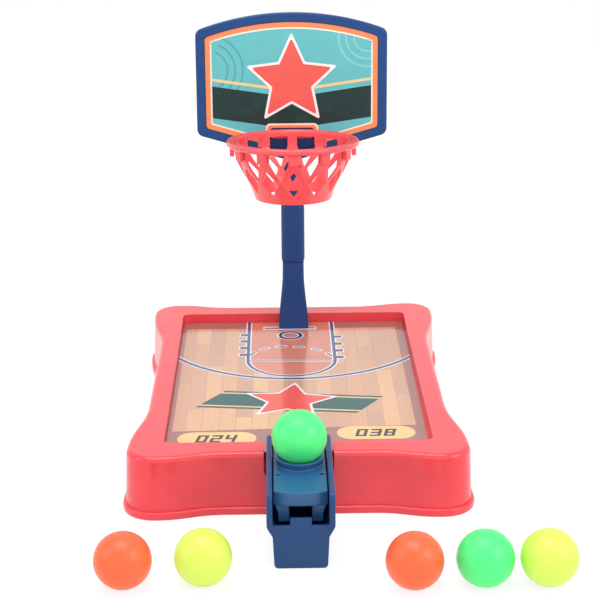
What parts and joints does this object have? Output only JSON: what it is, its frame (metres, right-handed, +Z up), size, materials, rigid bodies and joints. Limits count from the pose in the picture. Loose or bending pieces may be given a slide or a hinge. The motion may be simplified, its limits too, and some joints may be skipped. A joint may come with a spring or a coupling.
{
  "type": "tabletop basketball game",
  "caption": "Tabletop basketball game: a tray court with a sprung finger launcher, a raked post, a backboard, a hoop with a moulded net, and loose balls.",
  "frame": {"origin": "centre of the tray's flat underside", "axes": "+X to the player's right, +Y from the player towards the hoop, +Z up"},
  "size_m": [0.2474, 0.3659, 0.2452],
  "materials": {
    "red_plastic": "satin moulded",
    "hoop_plastic": "satin moulded",
    "blue_plastic": "satin moulded",
    "court_print": "glossy printed card",
    "board_print": "glossy printed card",
    "steel": "plain",
    "green_ball": "satin",
    "yellow_ball": "satin",
    "orange_ball": "satin"
  },
  "bodies": {
    "base": {"base_shell": "red_plastic", "base_plate": "red_plastic", "base_screw_1": "steel", "base_screw_2": "steel", "base_screw_3": "steel", "base_screw_4": "steel", "court_card": "court_print", "lower_post": "blue_plastic", "upper_post": "blue_plastic", "backboard_frame": "blue_plastic", "backboard_card": "board_print", "hoop_ring": "hoop_plastic", "hoop_net": "hoop_plastic", "launcher_housing": "blue_plastic", "lever_pivot_pin": "steel", "lever_spring": "steel"},
    "lever": {"launch_lever": "blue_plastic"},
    "loaded_ball": {"ball_green_loaded": "green_ball"},
    "orange_ball_left": {"ball_orange_left": "orange_ball"},
    "yellow_ball_left": {"ball_yellow_left": "yellow_ball"},
    "orange_ball_right": {"ball_orange_right": "orange_ball"},
    "green_ball_right": {"ball_green_right": "green_ball"},
    "yellow_ball_right": {"ball_yellow_right": "yellow_ball"}
  },
  "joints": [
    {"name": "lever_press", "type": "hinge", "parent": "base", "child": "lever", "pos_m": [0, -0.12, 0.0305], "axis": [1, 0, 0], "range_deg": [0, 8.5], "stiffness_Nm_per_rad": 0.35, "springref_deg": -14.32, "deforming": ["lever_spring"]},
    {"name": "loaded_ball_lift", "type": "slide", "parent": "lever", "child": "loaded_ball", "axis": [0, 0, 1], "range_m": [0, 0.06]},
    {"name": "orange_ball_left_lift", "type": "slide", "parent": "base", "child": "orange_ball_left", "axis": [0, 0, 1], "range_m": [0, 0.06]},
    {"name": "yellow_ball_left_lift", "type": "slide", "parent": "base", "child": "yellow_ball_left", "axis": [0, 0, 1], "range_m": [0, 0.06]},
    {"name": "orange_ball_right_lift", "type": "slide", "parent": "base", "child": "orange_ball_right", "axis": [0, 0, 1], "range_m": [0, 0.06]},
    {"name": "green_ball_right_lift", "type": "slide", "parent": "base", "child": "green_ball_right", "axis": [0, 0, 1], "range_m": [0, 0.06]},
    {"name": "yellow_ball_right_lift", "type": "slide", "parent": "base", "child": "yellow_ball_right", "axis": [0, 0, 1], "range_m": [0, 0.06]}
  ]
}
